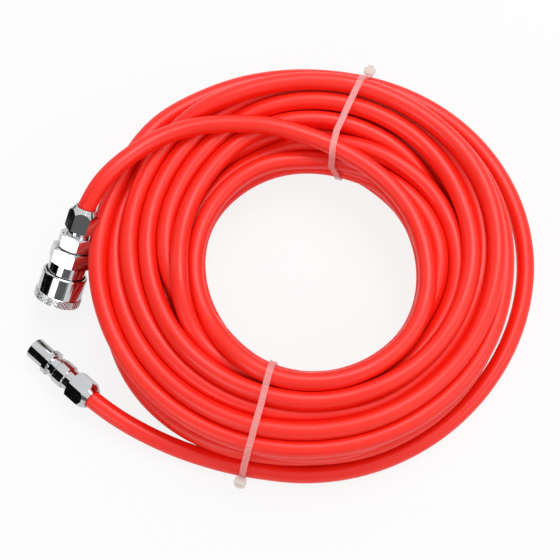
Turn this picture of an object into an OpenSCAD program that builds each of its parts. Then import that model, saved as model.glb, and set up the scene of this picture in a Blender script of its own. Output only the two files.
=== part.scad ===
// Coiled air hose. A polyurethane hose is wound flat and held by two nylon ties. One end carries
// a quick-connect socket, the other end its plug. Sizes are in millimetres.
// The coil's axis is Z, and the whole lies on Z = 0.

/* [Hose] */
// Outside diameter of the hose
hose_od = 8; // [7:0.1:10]
// Inside diameter of the hose
hose_id = 5; // [4.4:0.1:6]

/* [Coil] */
// Outer radius of the wound coil
coil_out_r = 96.5; // [85:0.5:120]
// Radius of the open eye in the middle
coil_in_r = 46; // [35:0.5:58]
// Height of the wound coil
coil_h = 29; // [22:0.5:36]
// Corner radius of the coil's section
coil_corner = 11; // [6:0.5:11]

/* [Ties] */
// Width of a tie's strap
tie_w = 2.8; // [2:0.1:4]
// Thickness of a tie's strap
tie_t = 1.1; // [0.8:0.1:1.6]
// Width of a tie's head, along the hose
head_w = 5.7; // [4.5:0.1:7]
// Height of a tie's head, along the strap
head_h = 5.8; // [4.5:0.1:7]
// Thickness of a tie's head
head_t = 4.5; // [3.5:0.1:5.5]
// Height of the heads' lower face above the floor
head_z = 8; // [5:0.5:11]
// Direction of the first tie, seen from above
upper_tie_angle = 75; // [70:1:85]
// Direction of the second tie, seen from above
lower_tie_angle = -110; // [-118:1:-100]

/* [Plug] */
// Radius of the plug's nose
nose_r = 4.85; // [4.2:0.05:5.4]
// Length of the plug's nose
nose_len = 9.4; // [8:0.1:10.4]
// Height of the collar above the nose
collar_step = 1.1; // [0.9:0.05:1.3]
// Width of the collar that the balls hold
collar_w = 3.1; // [2.6:0.1:3.4]
// Length from the collar to the plug's ring
neck_len = 3.9; // [3.4:0.1:4.6]
// Length of the plug's ring
ring_len = 5.6; // [4:0.1:7]
// Radius of the plug's air passage
passage_r = 3.2; // [2.4:0.1:3.4]

/* [Hose nuts] */
// Radial room between the hose and the thread's outside
thread_over_hose = 1; // [0.8:0.05:1.4]
// Wall of a nut over the thread, at a flat
nut_wall = 1; // [0.8:0.05:2]
// Length of a nut
nut_len = 11.2; // [10:0.1:13.5]
// Turn of the plug's nut about the axis
plug_nut_roll = 14; // [0:1:59]
// Length of a nut's tapered end
nut_taper = 3.4; // [2.5:0.1:4]
// Length of thread between a body and its nut
thread_gap = 2; // [1:0.1:4]
// Length of thread inside a nut
thread_in = 5.6; // [4.5:0.1:6]
// Length of the barb stem beyond the thread
stem_len = 4.6; // [3.5:0.1:5]
// Radius of the air passage through a barb stem
stem_bore_r = 1.75; // [1.4:0.05:1.9]

/* [Socket] */
// Wall of the barrel around the plug's collar
barrel_wall = 1.05; // [0.9:0.05:1.4]
// Radius of a locking ball
ball_r = 1.25; // [1.1:0.05:1.4]
// Number of locking balls, one named node each
balls = 6; // [6]
// Travel of the sleeve
sleeve_travel = 3.5; // [3:0.1:3.8]
// Outward travel of the balls for each millimetre of the sleeve's
ball_slope = 0.25; // [0.2:0.01:0.3]
// Length of the sleeve
sleeve_len = 13.6; // [13.4:0.1:16]
// Wall of the sleeve over its spring
sleeve_wall = 1; // [0.8:0.05:2]
// Height of the knurled grip above the sleeve
knurl_step = 0.55; // [0.3:0.05:0.8]
// Width of the knurled grip
knurl_w = 3.6; // [3:0.1:5]
// Length of the round neck behind the sleeve
neck_gap = 4.8; // [4.2:0.1:8]
// Length of the barrel's hexagon
barrel_hex_len = 7.2; // [6:0.1:10]
// Height of the barrel's hexagon flats above its neck
barrel_hex_step = 0.1; // [0.05:0.05:2]
// Length of the adapter's hexagon
adapter_hex_len = 6.9; // [6:0.1:9]
// Wall of the adapter around the valve
adapter_wall = 1.5; // [1.2:0.1:2]
// Turn of the barrel's and the adapter's hexagons about the axis
hex_roll = 27; // [0:1:59]
// Turn of the socket's nut about the axis
socket_nut_roll = 44; // [0:1:59]
// Wire radius of the sleeve's spring
sleeve_wire = 0.4; // [0.3:0.05:0.4]
// Turns of the sleeve's spring
sleeve_turns = 3; // [2:0.5:3]
// Wire radius of the valve's spring
valve_wire = 0.35; // [0.25:0.05:0.4]
// Turns of the valve's spring
valve_turns = 4.5; // [3:0.5:5]

/* [Hidden] */
$fn = 96;

// Clearances: a close seat, a running fit, and room between pieces that never meet
seat = 0.05;
fit = 0.08;
room = 0.3;
bevel = 0.4;
hose_colour = [1, 0.2, 0.16];
nylon_colour = [0.93, 0.89, 0.84];
chrome_colour = [0.8, 0.81, 0.83];
steel_colour = [0.6, 0.61, 0.63];
brass_colour = [0.82, 0.66, 0.35];
rubber_colour = [0.12, 0.12, 0.12];

// Hose end and nut, measured from the nut's open end
hose_r = hose_od / 2;
thread_r = hose_r + thread_over_hose;
nut_af = 2 * (thread_r + nut_wall);
stem_r = hose_id / 2 - seat;
hose_proud = 0.5;

// Plug, measured from the tip of its nose
collar_r = nose_r + collar_step;
ring_r = collar_r - 0.2;
collar_end = nose_len + collar_w;
ring_at = collar_end + neck_len;
ring_end = ring_at + ring_len;
plug_nut_at = ring_end + thread_gap + 1.3;
plug_len = plug_nut_at + nut_len;

// Socket, measured from the sleeve's mouth
mouth_r = collar_r + 0.1;
port_r = nose_r + 0.15;
barrel_r = mouth_r + barrel_wall;
barrel_front = 0.3;
ball_at = 5;
ball_rest_r = mouth_r + 0.35;
ball_travel = ball_slope * sleeve_travel;
clip_at = 0.6;
clip_w = 0.8;
clip_root = 0.3;
clip_r = ball_rest_r + ball_r + ball_travel + 0.375;
sleeve_stop = clip_at + clip_w + seat;
land_at = ball_at + ball_r + 0.15;
land_end = land_at + 0.6;
cavity_r = clip_r + 0.1;
sleeve_r = cavity_r + sleeve_wall;
knurl_r = sleeve_r + knurl_step;
neck_r = cavity_r - 0.6;
neck_at = sleeve_len - 0.6;
port_at = ball_at + ball_r + collar_w + 0.15;
port_end = port_at + 4.7;
seal_end = port_end + 2.8;
seat_at = port_at + nose_len + 0.3;
seat_end = seat_at + 1;
seat_r = port_r - 0.8;
poppet_r = seat_r - room;
poppet_wall = 1;
poppet_front = seat_at - 0.5 - sleeve_travel;
valve_face_r = seat_r + 0.7;
valve_cavity_r = valve_face_r + 0.6;
valve_seal_t = 0.75;
head_end = seat_end + seat + valve_seal_t + 1.4;
barrel_hex_at = sleeve_len + neck_gap;
barrel_end = barrel_hex_at + barrel_hex_len;
spigot_at = seat_end + 1.5;
spigot_r = valve_cavity_r + 0.9;
adapter_end = barrel_end + adapter_hex_len;
spring_seat = adapter_end - 2.5;
socket_nut_at = adapter_end + thread_gap;
socket_len = socket_nut_at + nut_len;

// Places. The plug lies on its nose and collar; the socket leans from the top of the coil
// down to the floor
floor_gap = 0.03;
plug_dip = atan2(collar_step, nose_len + bevel);
plug_heading = -41.7;
plug_exit = [(coil_out_r + 14.7) * cos(-150), (coil_out_r + 14.7) * sin(-150),
    nose_r * cos(plug_dip) + plug_len * sin(plug_dip) + floor_gap];
socket_reach = sqrt(pow(knurl_r, 2) + pow(socket_len - bevel, 2));
socket_exit_z = coil_h + 4.9;
socket_dip = asin((socket_exit_z - floor_gap) / socket_reach) - atan2(knurl_r, socket_len - bevel);
socket_heading = 66;
socket_exit_r = 1.03 * coil_out_r + 0.25 * coil_h - 5.5;
socket_exit = [socket_exit_r * cos(166), socket_exit_r * sin(166), socket_exit_z];

// Routes of the two free ends, from each nut to where the hose joins the coil
plug_route = [[-85.5, -63, 8.4], [-78, -67, 6.5], [-68, -72.2, 4.8], [-56, -77, 4.1],
    [-47, -79, 4.1], [-38, -80, 4.1]];
socket_route = [[-90.2, 36, 39], [-84, 43, 38.8], [-77, 49.5, 36.9], [-69.5, 55, 35],
    [-57, 60.5, 33.8], [-43, 63.5, 33.5], [-29, 63.8, 33.5], [-16, 61.8, 33.2], [-5, 59, 30.5],
    [2, 57, 26.5], [7, 55, 22]];
tube_sides = 10;
straight_out = 6;

function heading(dip, turn) = [cos(dip) * cos(turn), cos(dip) * sin(turn), sin(dip)];
function unit(v) = v / norm(v);
function arc(x, y, r, from, to, steps) =
    [for (i = [0 : steps]) let (a = from + (to - from) * i / steps) [x + r * cos(a), y + r * sin(a)]];
function rounded(x0, x1, y0, y1, r) = concat(
    arc(x1 - r, y0 + r, r, -90, 0, 8), arc(x1 - r, y1 - r, r, 0, 90, 8),
    arc(x0 + r, y1 - r, r, 90, 180, 8), arc(x0 + r, y0 + r, r, 180, 270, 8));

// Rings of points around a route, level with the floor, for the tube polyhedron
function travel(p, i) = unit(i == 0 ? p[1] - p[0]
    : i == len(p) - 1 ? p[i] - p[i - 1] : unit(p[i + 1] - p[i]) + unit(p[i] - p[i - 1]));
function ring(c, t, r, n) = let (side = unit(cross(t, [0, 0, 1])), top = cross(side, t))
    [for (k = [0 : n - 1]) c + r * (cos(360 * k / n) * side + sin(360 * k / n) * top)];
function skin(rings, n) = concat(
    [[for (k = [n - 1 : -1 : 0]) k]],
    [for (i = [0 : rings - 2], k = [0 : n - 1])
        [i * n + k, i * n + (k + 1) % n, (i + 1) * n + (k + 1) % n, (i + 1) * n + k]],
    [[for (k = [0 : n - 1]) (rings - 1) * n + k]]);

// A round tube swept along a route
module tube(route, r, n) {
    points = [for (i = [0 : len(route) - 1]) each ring(route[i], travel(route, i), r, n)];
    polyhedron(points, skin(len(route), n), convexity = 10);
}

// A compression spring standing on z0
module spring(mean_r, wire_r, turns, z0, z1) {
    per_turn = 16;
    count = turns * per_turn;
    rise = (z1 - z0 - 2 * wire_r) / count;
    route = [for (i = [0 : count]) let (a = 360 * i / per_turn)
        [mean_r * cos(a), mean_r * sin(a), z0 + wire_r + rise * i]];
    tube(route, wire_r, 8);
}

// A hexagon bar whose corners are turned down at both ends
module hex_bar(af, z0, z1, turn0, turn1) {
    corner = af / 2 / cos(30);
    intersection() {
        translate([0, 0, z0]) rotate([0, 0, hex_roll]) cylinder(r = corner, h = z1 - z0, $fn = 6);
        rotate_extrude() polygon([[0, z0 - 1], [af / 2 - 0.3, z0 - 1], [af / 2 - 0.3, z0],
            [corner + 0.1, z0 + turn0], [corner + 0.1, z1 - turn1], [af / 2 - 0.3, z1],
            [af / 2 - 0.3, z1 + 1], [0, z1 + 1]]);
    }
}

// Solid of revolution from [radius, height] points
module turned(points) rotate_extrude() polygon(points);

// Carry a piece drawn along its own axis to its place, hose end at the exit point
module at_socket() translate(socket_exit) rotate([0, 90 - socket_dip, socket_heading])
    translate([0, 0, -socket_len]) children();
module at_plug() translate(plug_exit) rotate([0, 90 - plug_dip, plug_heading])
    translate([0, 0, -plug_len]) children();

// The strap of a tie as a closed band around the coil's section; grow adds room around it
module tie_band(angle, grow) {
    rotate([90, 0, angle])
        linear_extrude(tie_w + 2 * grow, center = true) difference() {
            polygon(rounded(coil_in_r - room - tie_t - grow, coil_out_r + room + tie_t + grow,
                -grow, coil_h + room + tie_t + grow, coil_corner + tie_t));
            polygon(rounded(coil_in_r - room + grow, coil_out_r + room - grow,
                tie_t + grow, coil_h + room - grow, coil_corner));
        }
}

// One nylon tie: strap, head on the outside, and the short cut end above the head
module tie(angle) {
    color(nylon_colour) {
        tie_band(angle, 0);
        rotate([0, 0, angle]) translate([coil_out_r + room + tie_t - 0.2, 0, head_z]) {
            translate([0, -head_w / 2, 0]) cube([head_t, head_w, head_h]);
            translate([1.6, -tie_w / 2, head_h - 0.1]) cube([tie_t, tie_w, 1.6]);
        }
    }
}

module hose_coil() {
    color(hose_colour) difference() {
        rotate_extrude() polygon(rounded(coil_in_r, coil_out_r, 0, coil_h, coil_corner));
        for (angle = [upper_tie_angle, lower_tie_angle]) tie_band(angle, room - seat);
    }
}

// The hose between a nut and the coil
module hose_tail(exit, way, route) {
    start = exit + hose_proud * way;
    color(hose_colour) tube(concat([start, start + straight_out * way], route), hose_r, tube_sides);
}
module hose_tail_socket() hose_tail(socket_exit, heading(socket_dip, socket_heading), socket_route);
module hose_tail_plug() hose_tail(plug_exit, heading(plug_dip, plug_heading), plug_route);

// The end of the hose pushed over a barb stem, inside its nut
module hose_end(nut_at) {
    from = nut_at + thread_in + seat;
    color(hose_colour) difference() {
        translate([0, 0, from]) cylinder(r = hose_r, h = nut_at + nut_len + hose_proud - from);
        translate([0, 0, from - 1]) cylinder(r = hose_id / 2, h = nut_len + 2);
    }
}
module hose_end_socket() at_socket() hose_end(socket_nut_at);
module hose_end_plug() at_plug() hose_end(plug_nut_at);

module tie_upper() tie(upper_tie_angle);
module tie_lower() tie(lower_tie_angle);

// Nut that turns on the thread and closes on the hose with its tapered end
module hose_nut(nut_at, roll) {
    end = nut_at + nut_len;
    corner = nut_af / 2 / cos(30);
    hole_r = hose_r + room - seat;
    color(chrome_colour) difference() {
        intersection() {
            translate([0, 0, nut_at]) rotate([0, 0, roll])
                cylinder(r = corner, h = nut_len, $fn = 6);
            turned([[0, nut_at - 1], [nut_af / 2 - 0.2, nut_at - 1], [nut_af / 2 - 0.2, nut_at],
                [corner + 0.1, nut_at + 0.7], [corner + 0.1, end - nut_taper],
                [hole_r + 0.7, end], [hole_r + 0.7, end + 1], [0, end + 1]]);
        }
        turned([[0, nut_at - 2], [thread_r + fit, nut_at - 2],
            [thread_r + fit, nut_at + thread_in + 0.4], [hole_r, nut_at + thread_in + 1.6],
            [hole_r, end + 2], [0, end + 2]]);
    }
}
module socket_nut() at_socket() hose_nut(socket_nut_at, socket_nut_roll);
module plug_nut() at_plug() hose_nut(plug_nut_at, plug_nut_roll);

// Threaded end with the barb stem that the hose is pushed over
function thread_profile(from, nut_at) = [[thread_r, from], [thread_r, nut_at + thread_in - bevel],
    [thread_r - bevel, nut_at + thread_in], [stem_r, nut_at + thread_in],
    [stem_r, nut_at + thread_in + stem_len - bevel],
    [stem_r - bevel, nut_at + thread_in + stem_len]];

module plug_body() {
    stem_end = plug_nut_at + thread_in + stem_len;
    color(chrome_colour) at_plug() turned(concat(
        [[passage_r, 0], [nose_r - bevel, 0], [nose_r, bevel], [nose_r, nose_len],
        [collar_r, nose_len + bevel], [collar_r, collar_end - bevel],
        [nose_r - 0.35, collar_end], [nose_r - 0.35, collar_end + 1.7],
        [nose_r + 0.35, collar_end + 2.1], [nose_r + 0.35, ring_at - 0.2],
        [ring_r - bevel, ring_at - 0.2], [ring_r, ring_at + 0.2], [ring_r, ring_end - bevel],
        [ring_r - bevel, ring_end]],
        thread_profile(ring_end, plug_nut_at),
        [[stem_bore_r, stem_end], [stem_bore_r, plug_nut_at + 1], [passage_r, plug_nut_at - 1]]));
}

// Barrel: bore for the plug, ball holes, packing groove, valve seat and the threaded rear
module socket_barrel() {
    corner_af = 2 * (neck_r + barrel_hex_step);
    color(chrome_colour) at_socket() difference() {
        union() {
            turned([[0, barrel_front], [barrel_r - bevel, barrel_front],
                [barrel_r, barrel_front + bevel], [barrel_r, neck_at], [neck_r, neck_at],
                [neck_r, barrel_hex_at + 0.5], [0, barrel_hex_at + 0.5]]);
            hex_bar(corner_af, barrel_hex_at, barrel_end, 0.8, 0.8);
        }
        turned([[0, barrel_front - 1], [mouth_r + bevel, barrel_front - 1],
            [mouth_r + bevel, barrel_front], [mouth_r, barrel_front + bevel], [mouth_r, port_at],
            [port_r, port_at], [port_r, port_end], [port_r + 1.2, port_end],
            [port_r + 1.2, seal_end], [port_r + 0.3, seal_end], [port_r + 0.3, seat_at],
            [seat_r, seat_at], [seat_r, seat_end], [valve_cavity_r, seat_end],
            [valve_cavity_r, seat_end + 0.6], [spigot_r + 0.1, seat_end + 0.6],
            [spigot_r + 0.1, barrel_end + 1], [0, barrel_end + 1]]);
        turned([[barrel_r - clip_root, clip_at - seat], [barrel_r + 1, clip_at - seat],
            [barrel_r + 1, clip_at + clip_w + seat], [barrel_r - clip_root, clip_at + clip_w + seat]]);
        for (i = [0 : balls - 1]) rotate([0, 0, i * 360 / balls])
            translate([mouth_r - 0.2, 0, ball_at]) rotate([0, 90, 0])
                cylinder(r1 = ball_r - 0.06, r2 = ball_r + 0.34, h = 1.6);
    }
}

module socket_adapter() {
    stem_end = socket_nut_at + thread_in + stem_len;
    af = 2 * (valve_cavity_r - 0.1 + adapter_wall);
    color(chrome_colour) at_socket() difference() {
        union() {
            turned(concat([[0, spigot_at], [spigot_r - bevel, spigot_at],
                [spigot_r, spigot_at + bevel], [spigot_r, barrel_end + 0.5],
                [thread_r, barrel_end + 0.5]],
                thread_profile(adapter_end - 0.5, socket_nut_at), [[0, stem_end]]));
            hex_bar(af, barrel_end + seat, adapter_end, 1.1, 1.1);
        }
        turned([[0, spigot_at - 1], [valve_cavity_r - 0.1, spigot_at - 1],
            [valve_cavity_r - 0.1, spring_seat], [stem_bore_r, spring_seat],
            [stem_bore_r, stem_end + 1], [0, stem_end + 1]]);
    }
}

// Sleeve: a stop against the snap ring, the ramp over the balls, a land, and the spring's room
module socket_sleeve() {
    ramp_r = ball_rest_r + ball_r + 0.1;
    color(chrome_colour) at_socket() turned([
        [knurl_r - bevel, 0], [knurl_r, bevel], [knurl_r, knurl_w], [sleeve_r, knurl_w + 0.3],
        [sleeve_r, sleeve_len - bevel], [sleeve_r - bevel, sleeve_len], [cavity_r, sleeve_len],
        [cavity_r, land_end], [barrel_r + 0.1, land_end], [barrel_r + 0.1, land_at],
        [ramp_r + ball_slope * (ball_at - land_at), land_at],
        [ramp_r + ball_slope * (ball_at - sleeve_stop), sleeve_stop],
        [clip_r + room, sleeve_stop], [clip_r + room, 0]]);
}

module sleeve_spring() {
    mean_r = (barrel_r + 0.1 + cavity_r) / 2;
    color(steel_colour) at_socket() spring(mean_r, sleeve_wire, sleeve_turns, land_end, neck_at);
}

module snap_ring() {
    color(steel_colour) at_socket() translate([0, 0, clip_at]) difference() {
        cylinder(r = clip_r, h = clip_w);
        translate([0, 0, -1]) cylinder(r = barrel_r - clip_root + seat, h = clip_w + 2);
        translate([0, -1, -1]) cube([clip_r + 1, 2, clip_w + 2]);
    }
}

// Locking balls, one body each because each moves outwards in its own hole
module ball(i) {
    color(steel_colour) at_socket() rotate([0, 0, (i - 1) * 360 / balls])
        translate([ball_rest_r, 0, ball_at]) sphere(r = ball_r, $fn = 32);
}

// Packing whose lip closes on the plug's nose, behind the guide bore
module plug_seal() {
    color(rubber_colour) at_socket() turned([
        [port_r + 0.5, port_end + seat], [port_r + 1.2 - seat, port_end + seat],
        [port_r + 1.2 - seat, seal_end - seat], [port_r + 0.5, seal_end - seat],
        [nose_r - 0.1, port_end + 1.6], [nose_r - 0.1, port_end + 1.2]]);
}

module adapter_gasket() {
    from = seat_end + 0.6 + seat;
    color(rubber_colour) at_socket() translate([0, 0, from]) difference() {
        cylinder(r = spigot_r, h = spigot_at - seat - from);
        translate([0, 0, -1]) cylinder(r = valve_cavity_r, h = 4);
    }
}

// Valve: a tube that the plug's nose pushes, with slots for the air and a head behind the seat
module valve_poppet() {
    head_at = seat_end + seat + valve_seal_t;
    slot_at = poppet_front + 1.8;
    color(brass_colour) at_socket() difference() {
        turned([[poppet_r - poppet_wall, poppet_front], [poppet_r, poppet_front],
            [poppet_r, head_at], [valve_face_r, head_at], [valve_face_r, head_end],
            [0, head_end], [0, head_at], [poppet_r - poppet_wall, head_at]]);
        for (turn = [0, 90]) rotate([0, 0, turn])
            translate([-poppet_r - 1, -1, slot_at]) cube([2 * poppet_r + 2, 2, 2.6]);
    }
}

module valve_seal() {
    color(rubber_colour) at_socket() translate([0, 0, seat_end + seat]) difference() {
        cylinder(r = valve_face_r, h = valve_seal_t);
        translate([0, 0, -1]) cylinder(r = poppet_r + seat, h = valve_seal_t + 2);
    }
}

module valve_spring() {
    color(steel_colour) at_socket()
        spring(valve_face_r - 1, valve_wire, valve_turns, head_end, spring_seat);
}

hose_coil();
hose_tail_socket();
hose_tail_plug();
hose_end_socket();
hose_end_plug();
tie_upper();
tie_lower();
plug_body();
plug_nut();
socket_barrel();
socket_adapter();
socket_nut();
socket_sleeve();
sleeve_spring();
snap_ring();
ball(1);  // ball_1
ball(2);  // ball_2
ball(3);  // ball_3
ball(4);  // ball_4
ball(5);  // ball_5
ball(6);  // ball_6
plug_seal();
adapter_gasket();
valve_poppet();
valve_seal();
valve_spring();
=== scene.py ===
# %% [markdown]
# A coiled air hose, seen from above on a pale bench. The rigid parts come from
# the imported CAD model. What is soft or finely worked is made here: the hose
# itself, the two cable ties, the knurled sleeve and the two small springs.

# %% Load the frame and keep its size
import math

import bpy
import numpy as np
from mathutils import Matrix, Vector


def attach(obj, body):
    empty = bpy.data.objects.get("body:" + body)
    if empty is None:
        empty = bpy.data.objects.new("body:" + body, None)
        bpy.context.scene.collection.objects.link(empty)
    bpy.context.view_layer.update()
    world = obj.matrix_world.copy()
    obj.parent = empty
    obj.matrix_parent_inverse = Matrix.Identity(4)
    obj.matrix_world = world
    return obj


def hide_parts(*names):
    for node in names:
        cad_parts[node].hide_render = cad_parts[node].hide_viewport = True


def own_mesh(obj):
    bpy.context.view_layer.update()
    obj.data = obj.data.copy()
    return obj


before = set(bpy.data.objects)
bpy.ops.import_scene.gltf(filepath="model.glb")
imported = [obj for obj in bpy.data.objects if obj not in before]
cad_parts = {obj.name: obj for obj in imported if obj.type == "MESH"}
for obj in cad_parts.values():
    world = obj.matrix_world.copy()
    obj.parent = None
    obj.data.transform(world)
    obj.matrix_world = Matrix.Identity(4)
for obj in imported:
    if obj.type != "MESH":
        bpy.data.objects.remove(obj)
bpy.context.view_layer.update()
MM = 0.001

# %% [markdown]
# The camera looks down on the coil from the front, steeply, as a person does
# who stands at the table. A long lens from far off keeps the ring nearly round.

# %% Camera
eye = bpy.data.cameras.new("eye")
eye.sensor_fit = "HORIZONTAL"
eye.angle = math.radians(22.68)
eye.clip_start, eye.clip_end = 0.01, 20
camera = bpy.data.objects.new("eye", eye)
camera.location = (-0.0140, -0.1635, 0.6131)
camera.rotation_euler = (math.radians(15), 0, 0)
bpy.context.scene.collection.objects.link(camera)
bpy.context.scene.camera = camera
print("camera at", tuple(round(v, 3) for v in camera.location))

# %% [markdown]
# The hose is one length of tube, wound turn on turn. It starts at the plug,
# runs round the outside on the table, climbs, and spirals inwards over the top.
# The turns out of sight fill the bottom, and the last two come up at the inner
# edge before the end crosses the whole coil to the socket. Drawing each turn by
# eye would leave strands cutting through each other. So each turn gets a few
# guides, bearing in degrees, radius and height in mm, and how firmly they hold,
# and the turns are then pushed apart until none is nearer than a hose diameter.

# %% Guides for the turns that show
guides = {
    0: [(-90, 87.5, 4, 1), (-60, 87.5, 4, 1), (-34, 90, 4, 1), (-13, 94, 4, 1), (2, 97.5, 4, 1),
        (14, 99.5, 4, 1), (32, 100.3, 4, 1), (47, 100.5, 4, 1), (61, 99, 5, 1), (75, 97, 6.5, 1),
        (89, 95.5, 8.5, 1), (109, 96.5, 12, 1), (124, 96, 15.5, 1), (139, 96.5, 22.5, 1),
        (160, 94, 25, 1), (178, 94.5, 24, 1)],
    1: [(-148, 89, 23, 1), (-114, 82.5, 26.5, 1), (-90, 80, 28, 1), (-62, 80, 28, 1),
        (-38, 81.5, 26.5, 1), (-1, 83.5, 25, 1), (20, 86, 21, 0.5), (40, 88, 19.5, 0.5),
        (75, 89.5, 20.5, 0.5), (110, 90, 19.5, 0.5), (139, 90, 18.5, 1), (160, 89.5, 18, 1),
        (178, 87, 22, 1)],
    2: [(-148, 81, 25, 1), (-113, 75, 30.5, 1), (-90, 72.5, 31, 1), (-63, 72.5, 31.5, 1),
        (-38, 75, 29.5, 1), (-2, 79.5, 31.5, 1), (19, 83.5, 31.5, 1), (40, 84.5, 30.5, 1),
        (60, 84.5, 31, 1), (75, 84.5, 33, 1), (90, 84.5, 32, 1), (110, 85.5, 30.5, 1),
        (140, 86.5, 26, 1), (161, 83.5, 25.5, 1), (179, 79.5, 26, 1)],
    3: [(-147, 73, 26.5, 1), (-114, 67.5, 27.5, 1), (-90, 65.5, 27, 1), (-62, 66, 27, 1),
        (-37, 68, 25.5, 1), (0, 73.5, 26.5, 0.4), (20, 78.5, 25, 0.4), (40, 81.5, 23, 0.4),
        (75, 83, 25, 0.4), (110, 83, 23, 0.4), (140, 79, 24.5, 0.4), (161, 75.5, 25.5, 1),
        (179, 71.5, 25.5, 1)],
    4: [(-147, 66, 31, 1), (-113, 61.5, 32.5, 1), (-91, 61, 33.5, 1), (-63, 61, 33.5, 1),
        (-39, 64, 32.5, 1), (-3, 68.5, 33, 1), (19, 71.5, 29.5, 1), (39, 75, 27.5, 1),
        (60, 76, 28.5, 1), (75, 76.5, 30, 1), (90, 76.5, 30, 1), (110, 76.5, 27.5, 1),
        (125, 74, 26, 1), (140, 71, 25, 1), (160, 67.5, 25.5, 1), (177, 64, 25.5, 0.5)],
    5: [(-150, 58, 19, 0.3), (-115, 57.5, 19.5, 0.4), (-90, 57.5, 19, 0.5),
        (-60, 58.5, 24, 0.5), (-35, 59.5, 25.5, 0.7), (-22, 61.5, 26, 1), (-1, 64, 26, 1),
        (19, 64, 25.5, 1), (40, 63.5, 25.5, 1), (60, 60.5, 26.5, 1), (75, 59.5, 22, 0.7),
        (110, 59, 19, 0.7), (140, 58.5, 18.5, 0.7), (160, 57.5, 18, 0.4),
        (177, 55.5, 17.5, 0.3)],
    19: [(20, 65.5, 18, 0.5), (40, 66.5, 18.5, 0.6), (55, 67.5, 20, 0.7), (75, 68.5, 27.5, 1),
        (90, 68.5, 27, 1), (110, 68.5, 26, 1), (130, 64.5, 26.5, 1), (156, 60, 26, 1),
        (179, 58, 31.5, 1)],
    20: [(-148, 59.5, 26.5, 1), (-115, 53.5, 26.5, 0.5), (-90, 53.5, 26, 0.5),
        (-60, 51, 26.5, 0.5), (-45, 51.5, 25.5, 0.5), (-32, 52, 25.5, 1), (-1, 56, 25.5, 1),
        (19, 56, 27, 1), (40, 54.5, 25.5, 1), (60, 53.5, 22, 0.7), (75, 52, 20, 0.7),
        (90, 52.5, 21, 0.7), (110, 53, 23.5, 1), (140, 52.5, 24, 1), (161, 52, 24, 1),
        (179, 52, 24.5, 1)],
    21: [(-147, 51.5, 26.5, 1), (-113, 53.5, 34.5, 1), (-90, 53, 34, 1), (-63, 53, 34.5, 1),
        (-39, 53, 33, 1), (-3, 50.5, 31, 1), (17, 49, 31, 1), (38, 49, 31.5, 1)],
}
hose_r = 4.0
hold_hidden = 0.1
print("guides", sum(len(g) for g in guides.values()))

# %% The wall that the turns lie within, by bearing
inner_wall = [(-150, 49.6), (-110, 50.8), (-90, 50.7), (-60, 51.3), (-30, 51.9), (-10, 51.1),
              (0, 50.4), (30, 49), (60, 48.1), (75, 47.7), (90, 47.8), (120, 49.1),
              (150, 51.1), (165, 51.1), (180, 50.3)]
outer_wall = [(-150, 91), (-135, 89), (-120, 86), (-105, 82.5), (-90, 80.5), (-60, 81),
              (-35, 82.2), (-15, 83), (0, 84), (20, 85.2), (40, 86.8), (60, 87.5), (75, 87),
              (90, 87.5), (110, 88), (125, 88.5), (140, 89.5), (160, 91), (177, 91)]


def round_the_ring(wall, bearing):
    """The wall's radius at any bearing; the list closes on itself."""
    x, y = np.array(wall).T
    return np.interp((np.asarray(bearing, float) + 150) % 360 - 150,
                     np.append(x, x[0] + 360), np.append(y, y[0]))


def lean(bearing):
    """How far the inner wall leans back for each mm of height."""
    return -0.268 * np.sin(np.radians(bearing)) - 0.078


def foot(bearing):
    """The inner wall's radius at the height of the bottom layer."""
    return round_the_ring(inner_wall, bearing) + lean(bearing) * (hose_r - 25)


print("inner wall", min(r for _, r in inner_wall), "outer wall", max(r for _, r in outer_wall))

# %% [markdown]
# Nobody sees the inside of the pile, but its turns carry the ones on top. They
# follow three plain rules: down the inner side, out along the table, and back
# in over that layer until the hose comes up again. Bearings here are counted on
# from turn to turn, so 2160 is six turns round.

# %% Guides for the turns inside the pile
holds = [(360 * turn + b, r, z, w) for turn, row in guides.items() for b, r, z, w in row]
holds += [(6 * 360 + b, r, z, hold_hidden) for b, r, z in
          [(-150, 54, 14), (-115, 54, 14), (-90, 54.5, 13), (-35, 57, 13), (0, 57, 12),
           (40, 57, 12), (90, 57, 11), (140, 57, 10), (177, 55, 9)]]
table_first, table_last = 2370, 4680
second_first, second_last = 4800, 6300
back_in_view = 6860
second_z, every = 11, 30
for a in range(table_first, table_last, every):
    part = (a - table_first) / (table_last - table_first)
    reach = round_the_ring(outer_wall, a) + 1 - foot(a)
    drop = max(0, table_first + 60 - a) / 20
    holds.append((a, foot(a) + part * reach, hose_r + drop, hold_hidden))
for a in range(table_last + every, second_last, every):
    part = max(0, (a - second_first) / (second_last - second_first))
    outmost, inmost = round_the_ring(outer_wall, a) - 1, foot(a) + 5
    climb = (a - table_last) * (second_z - hose_r) / (second_first - table_last)
    holds.append((a, outmost * (1 - part) + inmost * part, min(second_z, hose_r + climb),
                  hold_hidden))
for a in range(second_last + every, back_in_view, every):
    part = (a - second_last) / (back_in_view - second_last)
    holds.append((a, (foot(a) + 5) * (1 - part) + 65 * part, second_z + part, hold_hidden))
holds.sort()
print("guides in all", len(holds))

# %% [markdown]
# Both ends are known exactly, because the couplings hold them. They are given
# as points (bearing, radius, height) that stay where they are put.

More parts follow.
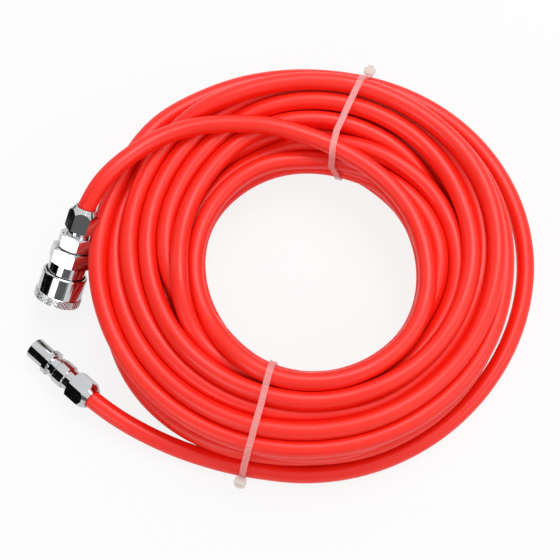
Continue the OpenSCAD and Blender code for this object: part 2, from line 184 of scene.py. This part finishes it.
# %% The two fixed ends
plug_tail = [(-150, 111.2, 9), (-146.1, 107.9, 8.6), (-141.9, 104.6, 7), (-138.5, 102.6, 5.5),
             (-132, 98.8, 4.4), (-124.8, 95.4, 4.7), (-116.4, 92.1, 5.2), (-109.7, 90.3, 5.3),
             (-99, 88.6, 4.8)]
socket_tail = [(53.8, 50, 31.5), (65.4, 50.6, 32), (76.3, 52.6, 32.3), (85.2, 55.9, 32.7),
               (94.9, 59.1, 33.3), (102.8, 63.1, 34), (109.8, 67.2, 33.5), (120.7, 73.9, 33.5),
               (127.8, 79.5, 33.7), (133.3, 83.3, 34), (141.8, 89, 35), (147.2, 91.5, 36.5),
               (152.6, 94.2, 38.5), (158.1, 96.5, 39.5), (162.8, 98.6, 38), (166, 101.1, 33.9)]
turns, step = 21, 5
stations = np.arange(-150, 360 * turns + 166, step, dtype=float)
per_turn = 360 // step
layers = math.ceil(len(stations) / per_turn)
knots = np.array([(b, r, z) for b, r, z in plug_tail] + [h[:3] for h in holds]
                 + [(360 * turns + b, r, z) for b, r, z in socket_tail])
fixed = (stations <= -100) | (stations >= 360 * turns + 76)


def eased(values, rounds=8):
    """Rounds off the corners of a row of values, but leaves the fixed ends."""
    for _ in range(rounds):
        mean = values.copy()
        mean[1:-1] = (values[:-2] + 2 * values[1:-1] + values[2:]) / 4
        values = np.where(fixed, values, mean)
    return values


want_r = eased(np.interp(stations, knots[:, 0], knots[:, 1]))
want_z = eased(np.interp(stations, knots[:, 0], knots[:, 2]))
firm = np.interp(stations, [h[0] for h in holds], [h[3] for h in holds])
print("stations", len(stations), "in", layers, "layers")

# %% [markdown]
# A cable tie passes under the pile, so the strands there rest on it and not on
# the table. The floor for the settling is therefore a little higher at the ties.
# Turns lie over each other at the same bearing, so each bearing is a column.

# %% Lay the stations out as one column for each bearing
tie_bearings = (75, -110)
padding = layers * per_turn - len(stations)


def columns(values, filler):
    """One row for each turn and one column for each bearing."""
    return np.append(values, np.full(padding, float(filler))).reshape(layers, per_turn)


floor = np.full(len(stations), hose_r)
for b in tie_bearings:
    off = (stations - b + 180) % 360 - 180
    floor += 1.25 * np.exp(-(off / 13) ** 2)
floor[fixed] = hose_r
far_in, far_out = -500, 900
wall_in = np.where(fixed, far_in, round_the_ring(inner_wall, stations) - 0.3)
walled = (firm < 0.3) & ~fixed
wall_out = np.where(walled, round_the_ring(outer_wall, stations) + 0.5, far_out)
lean_in = lean(stations)
sight = np.where(firm < 0.9, 0, lean_in)
free = columns(~fixed, 0)
weight = free[:, None, :] + free[None, :, :]
share = np.where(weight > 0, free[:, None, :] / np.maximum(weight, 1), 0)
real = columns(np.ones(len(stations)), 0)
share = share * real[:, None, :] * real[None, :, :] * (1 - np.eye(layers))[:, :, None]
print("free stations", int(free.sum()))

# %% Settle the coil
def stiffened(q, amount):
    """Bends like a hose: short kinks go, long curves stay."""
    b = q.copy()
    b[2:-2] += amount * ((-q[:-4] + 4 * q[1:-3] + 4 * q[3:-1] - q[4:]) / 6 - q[2:-2])
    b[4:-4] += 0.3 * amount * ((-q[:-8] + 4 * q[2:-6] + 4 * q[6:-2] - q[8:]) / 6 - q[4:-4])
    return np.where(fixed, q, b)


def kept_in(r, z):
    """Holds the strands above the floor and between the two walls."""
    z = np.maximum(z, floor)
    return np.minimum(np.maximum(r, wall_in + lean_in * (z - 25)), wall_out), z


def settle(rounds=5000, gravity=0.006, stiffness=0.25, pull_in=0.08, push_out=0.7):
    """Pushes the strands apart until they lie on and beside each other.

    The strands start thin and swell to their real diameter, and the pull of the
    guides eases off late, so that touching strands have the last word.
    """
    r, z = want_r.copy(), want_z.copy()
    for i in range(rounds):
        apart = min(2 * hose_r, 4.5 + 7.0 * i / rounds)
        late = i > 0.8 * rounds
        stiff = stiffness * (0.4 if late else 1)
        r, z = stiffened(r, stiff), stiffened(z, stiff)
        pull = pull_in * firm * (0.6 if late else 1)
        r = np.where(fixed, r, r + pull * (want_r + sight * (z - want_z) - r))
        z = np.where(fixed, z, z + 0.15 * pull_in * firm * (want_z - z) - gravity)
        r, z = kept_in(r, z)
        if i % 20 == 0:
            slant = np.gradient(r) / (r * np.radians(step))
            c = columns(1 / np.sqrt(1 + slant ** 2), 1)
            c = (c[:, None, :] + c[None, :, :]) / 2
        for _ in range(3 if late else 2):
            rows_r, rows_z = columns(r, 500), columns(z, 0)
            dr = rows_r[:, None, :] - rows_r[None, :, :]
            dz = rows_z[:, None, :] - rows_z[None, :, :]
            gap = np.sqrt((dr * c) ** 2 + dz ** 2) + 1e-6
            push = np.maximum(0, apart - gap) / gap * share * push_out
            new_r = (rows_r + (push * dr).sum(1)).ravel()[:len(r)]
            new_z = (rows_z + (push * dz).sum(1)).ravel()[:len(z)]
            r, z = np.where(fixed, r, new_r), np.where(fixed, z, new_z)
            r, z = kept_in(r, z)
    overlap = np.maximum(0, apart - gap) * (share > 0)
    print("deepest overlap left %.2f mm" % overlap.max())
    return r, z


coil_r, coil_z = settle()
print("pile height %.1f mm" % (coil_z[:-20].max() + hose_r))

# %% [markdown]
# The settled stations become one smooth centreline. It starts and ends inside
# the coupling nuts and leaves each of them straight along the nut's axis, since
# the hose is gripped there.

# %% Where the nuts let the hose out, and smooth lines
plug_exit = np.array((-96.302, -55.6, 8.921))
plug_way = np.array((0.74198, -0.66108, 0.11154))
socket_exit = np.array((-98.141, 24.469, 33.9))
socket_way = np.array((0.33868, 0.76069, 0.55376))
grip = 5.4


def at(bearing, r, z):
    """A point in space from its bearing, radius and height."""
    return np.array((r * np.cos(np.radians(bearing)), r * np.sin(np.radians(bearing)), z))


def bend(first, way, last, last_way, reach):
    """Points on one easy curve that leaves first along way and runs into last."""
    t = np.linspace(0, 1, 7)[:, None]
    lead, tail = first + reach * way, last - reach * np.array(last_way)
    return list((1 - t) ** 3 * first + 3 * t * (1 - t) ** 2 * lead
                + 3 * t ** 2 * (1 - t) * tail + t ** 3 * last)[:-1] + [last]


def through(points, spacing):
    """A smooth line through the points, cut into equal steps."""
    p = np.vstack([2 * points[0] - points[1], points, 2 * points[-1] - points[-2]])
    knot = np.append(0, np.cumsum(np.linalg.norm(np.diff(p, axis=0), axis=1) ** 0.5))
    fine = []
    for i in range(1, len(p) - 2):
        (a, b, c, d), t = knot[i - 1:i + 3], np.linspace(knot[i], knot[i + 1], 9)[:-1, None]
        ab = ((b - t) * p[i - 1] + (t - a) * p[i]) / (b - a)
        bc = ((c - t) * p[i] + (t - b) * p[i + 1]) / (c - b)
        cd = ((d - t) * p[i + 1] + (t - c) * p[i + 2]) / (d - c)
        ac = ((c - t) * ab + (t - a) * bc) / (c - a)
        bd = ((d - t) * bc + (t - b) * cd) / (d - b)
        fine.append(((c - t) * ac + (t - b) * bd) / (c - b))
    fine = np.vstack(fine + [p[-2:-1]])
    run = np.append(0, np.cumsum(np.linalg.norm(np.diff(fine, axis=0), axis=1)))
    marks = np.linspace(0, run[-1], int(run[-1] / spacing) + 1)
    return np.column_stack([np.interp(marks, run, fine[:, k]) for k in range(3)]), run[-1]


print("the ends leave at", plug_exit.round(1), "and", socket_exit.round(1))

# %% The centreline
ring_step = 3.0
middle = (stations > -97) & (stations < 360 * turns + 78)
wound = np.array([at(*p) for p in zip(stations[middle], coil_r[middle], coil_z[middle])])
start = [plug_exit + k * plug_way for k in (-grip, -grip / 2)]
start += bend(plug_exit, plug_way, at(*plug_tail[5]), (0.94, -0.34, 0.0), 15)
start += [at(*p) for p in plug_tail[6:8]]
stop = [at(*p) for p in socket_tail[3:11]]
stop += bend(socket_exit, socket_way, at(*socket_tail[11]), (0.75, 0.63, -0.19), 12)[::-1]
stop += [socket_exit - k * socket_way for k in (grip / 2, grip)]
line, hose_length = through(np.vstack([start, wound, stop]), ring_step)
for _ in range(6):
    line[3:-3] = (line[2:-4] + 2 * line[3:-3] + line[4:-2]) / 4
ahead = np.diff(line, axis=0)
ahead /= np.linalg.norm(ahead, axis=1)[:, None]
across_rings = 4
cosine = (ahead[:-across_rings] * ahead[across_rings:]).sum(1)
turned = np.arccos(np.clip(cosine, -1, 1))
tight = int(turned.argmax())
print("hose length %.3f m in %d rings" % (hose_length * MM, len(line)))
print("tightest bend %.0f mm at" % (across_rings * ring_step / turned[tight]),
      line[tight + 2].round(0))

# %% [markdown]
# A tube is rings of points joined by faces. Each ring is turned as little as
# possible from the one before, so the skin doesn't twist. The same function
# makes the two springs. It also stores, at each point, where that point is on
# the skin, for the marks that run along the material.

# %% A tube along a line
def put(name, vertices, faces, smooth=True):
    """A new object from vertices in mm."""
    mesh = bpy.data.meshes.new(name)
    mesh.from_pydata([tuple(float(c) * MM for c in v) for v in vertices], [], faces)
    mesh.validate()
    for polygon in mesh.polygons:
        polygon.use_smooth = smooth
    piece = bpy.data.objects.new(name, mesh)
    bpy.context.scene.collection.objects.link(piece)
    print(name, "vertices", len(mesh.vertices))
    return piece


def tube(name, path, radius, sides):
    """A closed round tube along a path, with its skin marks."""
    way = np.gradient(path, axis=0)
    way /= np.linalg.norm(way, axis=1)[:, None]
    side = np.cross(way[0], (0, 0, 1))
    turn = np.arange(sides) * 2 * np.pi / sides
    vertices, skin = [], []
    run = np.append(0, np.cumsum(np.linalg.norm(np.diff(path, axis=0), axis=1)))
    for point, w, along in zip(path, way, run):
        side = side - w * side.dot(w)
        side /= np.linalg.norm(side)
        up = np.cross(w, side)
        rim = np.outer(np.cos(turn), side) + np.outer(np.sin(turn), up)
        vertices.extend(point + radius * rim)
        skin.extend((math.cos(a), math.sin(a), along) for a in turn)
    faces = [[i * sides + j, i * sides + (j + 1) % sides,
              (i + 1) * sides + (j + 1) % sides, (i + 1) * sides + j]
             for i in range(len(path) - 1) for j in range(sides)]
    last = len(vertices) - sides
    faces += [list(range(sides))[::-1], [last + j for j in range(sides)]]
    piece = put(name, vertices, faces)
    mark = piece.data.attributes.new("skin", "FLOAT_VECTOR", "POINT")
    mark.data.foreach_set("vector", np.array(skin, dtype=np.float32).ravel())
    for face in list(piece.data.polygons)[-2:]:
        face.use_smooth = False
    return piece


# %% The hose
hose = tube("hose", line, hose_r, 18)
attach(hose, "hose")
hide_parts("hose_coil", "hose_tail_socket", "hose_tail_plug", "hose_end_socket",
            "hose_end_plug")

# %% [markdown]
# A nylon cable tie is a toothed strap that goes round the pile and back through
# its own head. Under tension it is straight between the strands that it
# touches, so its inner line is the tightest line round all of them, the convex
# hull. On top it is pulled a little askew where the end of the hose lies under
# it. Its edges are thicker than its middle, where the teeth are.

# %% Where each tie runs
def hull(points):
    """The tightest closed line round flat points."""
    rows = sorted(map(tuple, points))

    def half(run):
        out = []
        for x, y in run:
            while len(out) > 1 and ((out[-1][0] - out[-2][0]) * (y - out[-2][1])
                                    - (out[-1][1] - out[-2][1]) * (x - out[-2][0])) <= 0:
                out.pop()
            out.append((x, y))
        return out[:-1]
    return np.array(half(rows) + half(rows[::-1]))


def strands_near(low, high):
    """Radius and height of every strand between two bearings."""
    bearing = np.degrees(np.arctan2(line[:, 1], line[:, 0]))
    near = (bearing > low) & (bearing < high)
    return np.column_stack([np.hypot(line[near, 0], line[near, 1]), line[near, 2]])


strap_width, strap_thick = 2.8, 1.05
top_from, top_blend = 12, 12
ring = np.radians(np.arange(0, 360, 10))
disc = (hose_r + 0.08) * np.column_stack([np.cos(ring), np.sin(ring)])


def strap_line(low, high, askew, under):
    """The strap's inner line in space, and the way outwards at each point.

    askew and under give the bearing at each radius, over and under the pile.
    """
    near = strands_near(low, high)
    loop = hull((near[:, None, :] + disc[None, :, :]).reshape(-1, 2))
    loop = np.vstack([loop, loop[:1]])
    run = np.append(0, np.cumsum(np.linalg.norm(np.diff(loop, axis=0), axis=1)))
    marks = np.linspace(0, run[-1], int(run[-1] / 0.5) + 1)[:-1]
    flat = np.column_stack([np.interp(marks, run, loop[:, k]) for k in range(2)])
    for _ in range(2):
        flat = (np.roll(flat, 1, 0) + 2 * flat + np.roll(flat, -1, 0)) / 4
    ahead = np.roll(flat, -1, 0) - np.roll(flat, 1, 0)
    out = np.column_stack([ahead[:, 1], -ahead[:, 0]])
    out /= np.linalg.norm(out, axis=1)[:, None]
    top = np.clip((flat[:, 1] - top_from) / top_blend, 0, 1)
    over, below = [np.interp(flat[:, 0], *zip(*table)) for table in (askew, under)]
    bearing = below + top * (over - below)
    line3 = np.array([at(b, r, z) for b, (r, z) in zip(bearing, flat)])
    out3 = np.array([at(b, o[0], o[1]) for b, o in zip(bearing, out)])
    return line3, out3, run[-1]


upper = strap_line(73, 82, [(43, 74), (45, 77), (48, 79.2), (52, 80), (60, 79.5), (66, 78.2),
                            (77, 76.4), (88, 74.9), (95, 74)], [(46, 74.5), (92, 74.2)])
lower = strap_line(-113, -106, [(47, -111), (66, -109.3), (82, -108.7), (97, -108.7)],
                   [(46, -113.5), (60, -111), (92, -108.8)])
print("ties are %.0f and %.0f mm round" % (upper[2], lower[2]))

# %% The strap, the head and the cut end
def box(centre, axes, size, chamfer):
    """A block with chamfered corners: its vertices and faces."""
    x, y, z = [np.array(a, float) for a in axes]
    a, b, h = [s / 2 for s in size]
    c = chamfer
    outline = [(a, b - c), (a - c, b), (c - a, b), (-a, b - c), (-a, c - b), (c - a, -b),
               (a - c, -b), (a, c - b)]
    rings = [(h - c, 1), (h, (a - c) / a), (-h, (a - c) / a), (c - h, 1)]
    order = [rings[2], rings[3], rings[0], rings[1]]
    vertices = [centre + x * p * k + y * q * k + z * t for t, k in order for p, q in outline]
    faces = [[i * 8 + j, i * 8 + (j + 1) % 8, i * 8 + 8 + (j + 1) % 8, i * 8 + 8 + j]
             for i in range(3) for j in range(8)]
    return vertices, faces + [list(range(8))[::-1], list(range(24, 32))]


def tie(name, route, tooth, head_z):
    """A closed strap with teeth, and its head at the height head_z outside."""
    inner, out, _ = route
    ahead = np.roll(inner, -1, 0) - np.roll(inner, 1, 0)
    across = np.cross(ahead, out)
    across /= np.linalg.norm(across, axis=1)[:, None]
    half, rim, nick = strap_width / 2, 0.55, 0.12
    vertices, count = [], len(inner)
    for i, (p, o, w) in enumerate(zip(inner, out, across)):
        dip = strap_thick - 0.22 - (tooth if i % 3 == 0 else 0)
        profile = [(-half, 0), (half, 0), (half, strap_thick - nick),
                   (half - nick, strap_thick), (half - rim, strap_thick),
                   (half - rim - 0.1, dip), (rim + 0.1 - half, dip), (rim - half, strap_thick),
                   (nick - half, strap_thick), (-half, strap_thick - nick)]
        vertices += [p + w * a + o * b for a, b in profile]
    sides = len(profile)
    faces = [[i * sides + j, i * sides + (j + 1) % sides,
              (i + 1) % count * sides + (j + 1) % sides, (i + 1) % count * sides + j]
             for i in range(count) for j in range(sides)]
    outer = [i for i in range(count) if np.hypot(*inner[i, :2]) > 80]
    i = min(outer, key=lambda k: abs(inner[k, 2] - head_z))
    axes = (across[i], np.cross(out[i], across[i]), out[i])
    strap_end = len(vertices)
    head, cut_end = (2.5, (5.2, 5.6, 3.6), 0.7), (4.7, (2.6, 1.1, 1.4), 0.15)
    for place, size, chamfer in (head, cut_end):
        v, f = box(inner[i] + out[i] * place, axes, size, chamfer)
        faces += [[len(vertices) + k for k in face] for face in f]
        vertices += v
    piece = put(name, vertices, faces, smooth=False)
    mark = piece.data.attributes.new("thick", "FLOAT", "POINT")
    mark.data.foreach_set("value", [float(k >= strap_end) for k in range(len(vertices))])
    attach(piece, "hose")
    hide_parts(name.replace("cable_", ""))
    print(name, "head at", inner[i].round(1))
    return piece


tie_upper = tie("cable_tie_upper", upper, 0.05, 11)
tie_lower = tie("cable_tie_lower", lower, 0.18, 7)

# %% [markdown]
# The sleeve is what the fingers pull back to let the plug go, so its front rim
# is knurled: two sets of fine grooves cross and leave rows of small diamonds.
# They catch the light, so they are real shape here. The rest is turned, so the
# whole sleeve is one profile carried round its axis.

# %% The knurled sleeve
mouth = np.array((-113.62, -10.29, 8.59))
side_x = np.cross(socket_way, (0, 0, 1))
side_x /= np.linalg.norm(side_x)
side_y = np.cross(socket_way, side_x)
knurl_r, sleeve_r, sleeve_len, bore_r = 10.55, 10.0, 13.6, 9.0
outside = [(9.45, 0), (9.7, 0), (9.95, 0), (10.15, 0), (10.35, 0.12)]
outside += [(knurl_r, z) for z in np.arange(0.3, 3.5, 0.1)]
outside += [(10.3, 3.62), (sleeve_r, 3.9), (sleeve_r, 4.1), (sleeve_r, 8), (sleeve_r, 13.0),
            (9.9, 13.3), (9.6, sleeve_len), (9.3, sleeve_len), (bore_r, sleeve_len),
            (bore_r, 7), (7.2, 7), (7.2, 6.4), (9.2, 1.45), (9.2, 0)]
around, diamonds, pitch, groove_depth = 320, 40, 1.6, 0.4


def groove(phase):
    """0 on the crest between two cuts and 1 at the bottom of a cut."""
    return abs((phase % 1) * 2 - 1)


vertices = []
for r, z in outside:
    for k in range(around):
        turn = 2 * np.pi * k / around
        cut = 0
        if r == knurl_r:
            first = groove(diamonds * k / around + z / pitch)
            second = groove(diamonds * k / around - z / pitch)
            cut = groove_depth * max(first, second)
        vertices.append(mouth + socket_way * z
                        + (r - cut) * (math.cos(turn) * side_x + math.sin(turn) * side_y))
count = len(outside)
faces = [[i * around + j, (i + 1) % count * around + j,
          (i + 1) % count * around + (j + 1) % around, i * around + (j + 1) % around]
         for i in range(count) for j in range(around)]
sleeve = put("sleeve_knurled", vertices, faces)
sleeve.data.set_sharp_from_angle(angle=math.radians(12))
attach(sleeve, "sleeve")
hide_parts("socket_sleeve")

# %% [markdown]
# Two springs work inside the socket. One holds the sleeve forward, and one
# holds the valve shut. A spring shortens as its part moves back.

# %% The two springs
def coil_spring(name, mean_r, wire, coils, low, high):
    """A helix of wire between two heights above the socket's mouth."""
    turn = np.linspace(0, 2 * np.pi * coils, int(24 * coils) + 1)
    rise = np.linspace(low + wire, high - wire, len(turn))
    sideways = np.outer(np.cos(turn), side_x) + np.outer(np.sin(turn), side_y)
    path = mouth + np.outer(rise, socket_way) + mean_r * sideways
    piece = tube(name, path, wire, 10)
    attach(piece, "hose")
    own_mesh(piece)
    return piece


spring_outer = coil_spring("spring_of_sleeve", 8.1, 0.4, 3, 7.0, 13.0)
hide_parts("sleeve_spring")
spring_inner = coil_spring("spring_of_valve", 3.9, 0.35, 4.5, 22.4, 30.0)
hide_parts("valve_spring")

# %% [markdown]
# The finishes are built from nodes. Written out as nodes, a sum of three things
# takes a page, so one small class stands for a socket and lets sums and
# products be written as such. The other class holds a material and makes any
# other node: its settings go in first, and then the values or links.

# %% Sums and products of sockets
class Signal:
    """A socket that can be added, subtracted, multiplied and compared."""

    def __init__(self, finish, socket):
        self.finish, self.socket = finish, socket

    def maths(self, operation, a, b):
        return self.finish.node("Math", {"operation": operation}, {0: a, 1: b})

    def __add__(self, other):
        return self.maths("ADD", self, other)

    def __sub__(self, other):
        return self.maths("SUBTRACT", self, other)

    def __rsub__(self, other):
        return self.maths("SUBTRACT", other, self)

    def __mul__(self, other):
        return self.maths("MULTIPLY", self, other)

    def __gt__(self, other):
        return self.maths("GREATER_THAN", self, other)

    __radd__, __rmul__ = __add__, __mul__


class Finish:
    """The nodes of one material, or of the world."""

    def __init__(self, owner):
        self.owner = owner
        owner.use_nodes = True
        self.tree = owner.node_tree
        self.tree.nodes.clear()

    def node(self, kind, settings=(), inputs=(), output=0):
        """Adds a node, and gives back the output asked for, by number or name."""
        made = self.tree.nodes.new("ShaderNode" + kind)
        for name, value in dict(settings).items():
            setattr(made, name, value)
        for name, value in dict(inputs).items():
            if isinstance(value, Signal):
                self.tree.links.new(value.socket, made.inputs[name])
            else:
                made.inputs[name].default_value = value
        return Signal(self, made.outputs[output]) if len(made.outputs) else None

    def speckle(self, where, scale, detail=3, stretch=None):
        """Noise from 0 to 1 over a place in space, drawn out where stretch says."""
        if stretch:
            where = self.node("VectorMath", {"operation": "MULTIPLY"}, {0: where, 1: stretch})
        return self.node("TexNoise", {}, {"Vector": where, "Scale": scale, "Detail": detail})

    def between(self, amount, low, high):
        """Moves a value from 0..1 to low..high, held inside them."""
        return self.node("MapRange", {}, {"Value": amount, "From Min": 0.3, "From Max": 0.7,
                                          "To Min": low, "To Max": high})

    def blend(self, amount, first, second):
        return self.node("Mix", {"data_type": "RGBA"}, {0: amount, 6: first, 7: second}, 2)

    def relief(self, height, strength, depth):
        return self.node("Bump", {}, {"Height": height, "Strength": strength, "Distance": depth})

    def skin(self, values):
        """The surface itself, a Principled shader joined to the output."""
        return self.closed(self.node("BsdfPrincipled", {}, values))

    def closed(self, surface):
        """Joins a finished surface to the material's output."""
        self.node("OutputMaterial", {}, {"Surface": surface})
        return self.owner


def finish(name):
    return Finish(bpy.data.materials.new(name))


def grey(level):
    return (level, level, level, 1)


print("maths and finishes ready")

# %% [markdown]
# The hose is polyurethane, a clear bright red with a satin skin. Extrusion
# leaves faint lines along it, and handling leaves duller patches. The lines
# follow the skin marks stored with the tube, so they run round every bend.

# %% Hose
def hose_finish():
    f = finish("hose_pu")
    mark = f.node("Attribute", {"attribute_name": "skin"}, {}, "Vector")
    lines = f.speckle(mark, 1.0, 4, (9, 9, 0.012))
    patches = f.speckle(mark, 1.0, 3, (0.8, 0.8, 0.02))
    red = f.blend(f.between(patches, 0, 1), (0.92, 0.012, 0.004, 1), (0.98, 0.021, 0.007, 1))
    dull = f.between(patches, 0.33, 0.42) + (lines - 0.5) * 0.10
    return f.skin({"Base Color": red, "Roughness": dull, "IOR": 1.5,
                   "Normal": f.relief(lines, 0.35, 0.00005)})


hose.data.materials.append(hose_finish())
print("hose painted")

# %% [markdown]
# Nylon is milky: thin, it lets the red behind it through as pink, and in the
# thick head it looks nearly white. Here the pink is painted into the strap's
# colour, painted red light from the hose behind it, on top of part transparency.
# The head is milky white, and light crosses more surfaces there.

# %% Cable ties
def tie_finish():
    f = finish("tie_nylon")
    place = f.node("TexCoord", {}, {}, "Object")
    cloud = f.speckle(place, 700, 2)
    thick = f.node("Attribute", {"attribute_name": "thick"}, {}, "Fac")
    # The strap's pink is painted: painted red light from the hose behind it, not the nylon's own
    # colour.
    thin = f.blend(f.between(cloud, 0, 1), (0.97, 0.42, 0.41, 1), (1.0, 0.52, 0.50, 1))
    milk_and_painted_pink = f.blend(thick, thin, (0.84, 0.78, 0.71, 1))
    return f.skin({"Base Color": milk_and_painted_pink, "Roughness": f.between(cloud, 0.32, 0.45), "IOR": 1.53,
                   "Alpha": f.between(cloud, 0.44, 0.52)})


nylon = tie_finish()
for piece in (tie_upper, tie_lower):
    piece.data.materials.append(nylon)
print("ties painted")

# %% [markdown]
# The couplings are steel with bright chrome on it. Chrome is a mirror, so its
# look comes from what stands round it. Its own detail is a slight unevenness,
# fine rub marks, and a dull film in places where hands have been.

# %% Metals
def metal_finish(name, light, dark, rough, rub=0.05, uneven=0.00001):
    """A metal with a clean and a handled tone, and rubbed patches."""
    f = finish(name)
    place = f.node("TexCoord", {}, {}, "Object")
    film = f.speckle(place, 180, 3)
    rubbed = f.speckle(place, 900, 2)
    fine = f.speckle(place, 2600, 2, (1, 1, 0.25))
    tone = f.blend(f.between(film, 0, 1), light, dark)
    dull = f.between(film, rough, rough + rub) + (fine > 0.66) * (rub * 0.8)
    return f.skin({"Base Color": tone, "Metallic": 1.0, "Roughness": dull,
                   "Normal": f.relief(rubbed, 0.2, uneven)})


chrome = metal_finish("chrome_plate", (0.60, 0.61, 0.62, 1), (0.54, 0.55, 0.565, 1), 0.06)
knurled = metal_finish("knurled_chrome", (0.60, 0.61, 0.62, 1), (0.53, 0.54, 0.555, 1), 0.07)
spring_steel = metal_finish("spring_steel", grey(0.46), grey(0.36), 0.22, 0.12)
ball_steel = metal_finish("ball_steel", grey(0.62), grey(0.55), 0.06, 0.03)
brass = metal_finish("valve_brass", (0.72, 0.50, 0.20, 1), (0.60, 0.40, 0.15, 1), 0.2, 0.12)
print("metals", [m.name for m in (chrome, knurled, spring_steel, ball_steel, brass)])

# %% [markdown]
# The seals are black rubber: dark, dull and very slightly grained.

# %% Rubber
def rubber_finish():
    f = finish("seal_rubber")
    place = f.node("TexCoord", {}, {}, "Object")
    grain = f.speckle(place, 3000, 2)
    tone = f.blend(f.between(grain, 0, 1), grey(0.018), grey(0.035))
    return f.skin({"Base Color": tone, "Roughness": f.between(grain, 0.5, 0.65),
                   "Normal": f.relief(grain, 0.3, 0.00003)})


rubber = rubber_finish()
wear = {"plug_body": chrome, "plug_nut": chrome, "socket_barrel": chrome,
        "socket_adapter": chrome, "socket_nut": chrome, "snap_ring": spring_steel,
        "valve_poppet": brass, "valve_seal": rubber, "plug_seal": rubber,
        "adapter_gasket": rubber}
wear.update({"ball_%d" % n: ball_steel for n in range(1, 7)})
for name, material in wear.items():
    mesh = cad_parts[name].data
    mesh.materials.clear()
    mesh.materials.append(material)
sleeve.data.materials.append(knurled)
for spring in (spring_outer, spring_inner):
    spring.data.materials.append(spring_steel)
print("painted", len(wear), "CAD nodes")

# %% [markdown]
# The bench is a pale sheet under soft light. Seen directly, and in mirrors, it
# and the room are white, but a part of it still takes light as paper does, so
# the hose keeps its shadow. The bench lies a hair under the hose and the ties.

# %% Bench
def sheet(name, centre, across, up, width, height):
    """A flat rectangle of the set, which isn't part of the object."""
    a, u = Vector(across) * width / 2, Vector(up) * height / 2
    mesh = bpy.data.meshes.new(name)
    mesh.from_pydata([Vector(centre) + a * s + u * t
                      for s, t in ((-1, -1), (1, -1), (1, 1), (-1, 1))], [], [(0, 1, 2, 3)])
    piece = bpy.data.objects.new(name, mesh)
    bpy.context.scene.collection.objects.link(piece)
    return piece


def bench_finish():
    f = finish("bench")
    paper = f.node("BsdfDiffuse", {}, {"Color": grey(0.85)})
    glow = f.node("Emission", {}, {"Color": grey(1.0), "Strength": 1.0})
    seen = f.node("LightPath", {}, {}, "Is Camera Ray")
    mirrored = f.node("LightPath", {}, {}, "Is Glossy Ray")
    through_glass = f.node("LightPath", {}, {}, "Is Transmission Ray")
    share = seen * 0.85 + mirrored * 0.5 + through_glass * 0.5
    return f.closed(f.node("MixShader", {}, {0: share, 1: paper, 2: glow}))


bench = sheet("bench", (0, 0, -0.0002), (1, 0, 0), (0, 1, 0), 6, 6)
bench.data.materials.append(bench_finish())
print("bench laid")

# %% [markdown]
# The room is white all round where it is looked at, and 0.6 as bright where it
# lights the hose, so that the colours come out about as they are written.

# %% The room's own light
world = bpy.data.worlds.new("room")
bpy.context.scene.world = world
room = Finish(world)
looked_at = room.node("LightPath", {}, {}, "Is Camera Ray")
looked_at = looked_at + room.node("LightPath", {}, {}, "Is Glossy Ray")
looked_at = looked_at + room.node("LightPath", {}, {}, "Is Transmission Ray")
strength = looked_at * 0.4 + 0.6
air = room.node("Background", {}, {"Color": grey(1.0), "Strength": strength})
room.node("OutputWorld", {}, {"Surface": air})
print("room lit")

# %% [markdown]
# A mirror finish needs dark things to reflect, or it looks like paper. A few
# black and grey cards stand round the bench and one lies on it, out of view.
# They hide from the camera and cast nothing, so only the chrome sees them. Each
# has a centre, the ways across and up, a width, a height and its own grey.

# %% Cards for the chrome
def card_finish(name, level):
    f = finish(name)
    return f.closed(f.node("Emission", {}, {"Color": grey(level), "Strength": 1.0}))


cards = [("card_left", (-0.90, -0.13, 0.50), (0.12, -0.99, 0), (0.42, 0, 0.91), 0.66, 1.1,
          0.004),
         ("card_low", (-0.80, -0.52, 0.12), (0.45, -0.89, 0), (0, 0, 1), 0.5, 0.28, 0.006),
         ("card_table", (-0.565, 0, 0.0004), (1, 0, 0), (0, 1, 0), 0.80, 1.2, 0.006),
         ("card_front", (-0.16, -0.90, 0.52), (1, 0, 0), (0, 0.5, 0.87), 0.72, 0.46, 0.16),
         ("card_edge", (0.235, -0.90, 0.44), (1, 0, 0), (0, 0.5, 0.87), 0.06, 0.5, 0.01),
         ("card_right", (0.9, 0.2, 0.35), (0, 1, 0), (-0.4, 0, 0.92), 0.7, 0.3, 0.12)]
for name, centre, across, up, width, height, level in cards:
    card = sheet(name, centre, across, up, width, height)
    card.data.materials.append(card_finish(name, level))
    for ray in ("camera", "diffuse", "transmission", "shadow", "volume_scatter"):
        setattr(card, "visible_" + ray, False)
print("cards", len(cards))

# %% [markdown]
# One wide lamp overhead draws the soft line along each strand, and a second from
# the side lifts the shade. The third stands to the left in front, where the
# flats of the socket mirror it as one bright white face. All three are large
# and weak, so shadows stay faint.

# %% Lamps
def lamp(name, place, aim, width, height, watts):
    """A rectangular lamp at place that shines towards aim."""
    light = bpy.data.lights.new(name, "AREA")
    light.shape, light.size, light.size_y, light.energy = "RECTANGLE", width, height, watts
    piece = bpy.data.objects.new(name, light)
    piece.location = place
    piece.rotation_euler = (Vector(aim) - Vector(place)).to_track_quat("-Z", "Y").to_euler()
    bpy.context.scene.collection.objects.link(piece)
    return piece


lamp("lamp_over", (0.25, 0.45, 0.95), (0, 0, 0), 0.6, 0.6, 5)
lamp("lamp_side", (0.9, -0.3, 0.7), (0, 0, 0), 0.5, 0.5, 1.6)
lamp("lamp_front", (-0.74, -0.69, 0.62), (-0.105, 0, 0.02), 0.5, 0.34, 1.6)
bpy.context.scene.view_settings.view_transform = "Standard"
